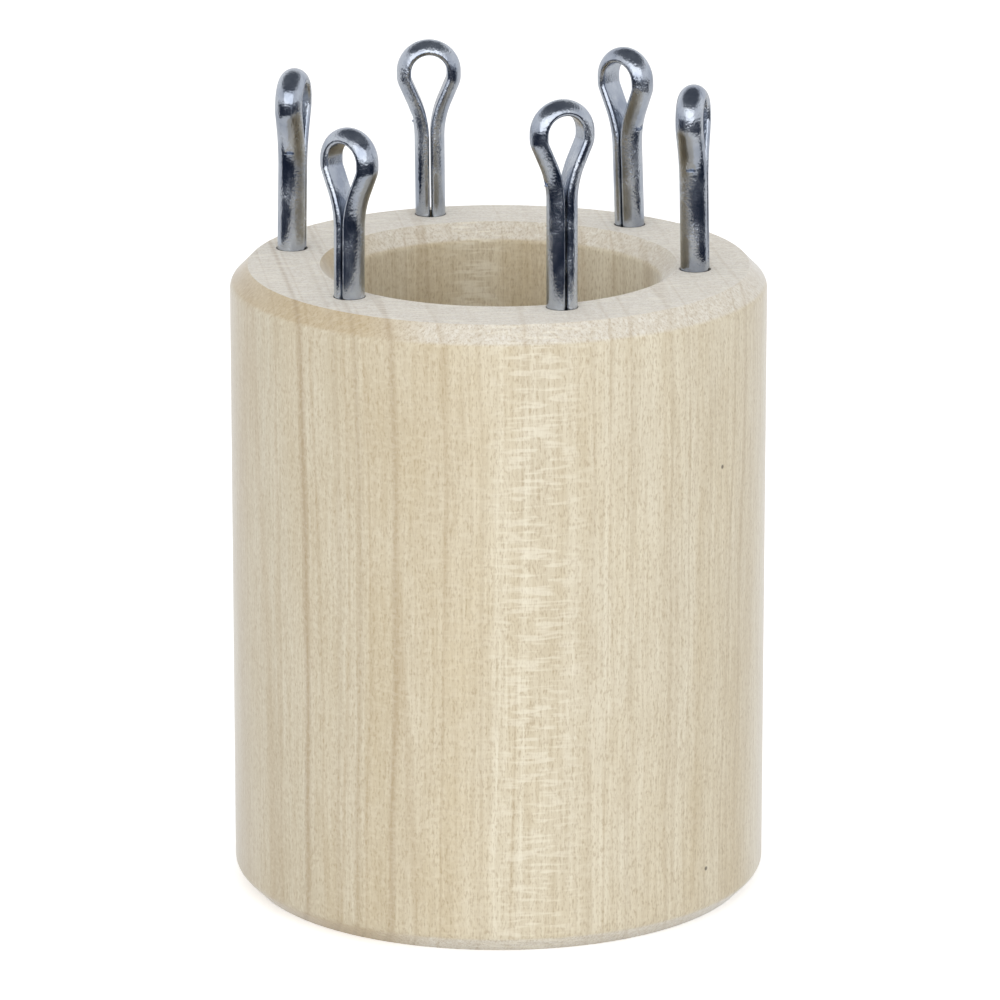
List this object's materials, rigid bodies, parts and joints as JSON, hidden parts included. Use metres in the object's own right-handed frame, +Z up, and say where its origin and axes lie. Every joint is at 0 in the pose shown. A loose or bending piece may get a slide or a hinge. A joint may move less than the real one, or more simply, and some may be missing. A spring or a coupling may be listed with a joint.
{
  "type": "knitting spool",
  "caption": "Turned wooden knitting spool: a bevelled hollow cylinder with steel split pins in its top, over whose eyes yarn is looped to knit a cord.",
  "frame": {"origin": "middle of the bottom face, on the axis of the bore", "axes": "+Z up along the bore, towards the split pins; -Y is the side that faces the camera and +X is to its right"},
  "size_m": [0.06, 0.06, 0.0944],
  "materials": {
    "maple": "pale maple, turned and sanded, bare, with a faint ray fleck",
    "zinc": "steel wire with a bright zinc plating"
  },
  "bodies": {
    "root": {"spool_body": "maple", "split_pin_1": "zinc", "split_pin_2": "zinc", "split_pin_3": "zinc", "split_pin_4": "zinc", "split_pin_5": "zinc", "split_pin_6": "zinc"}
  },
  "joints": []
}
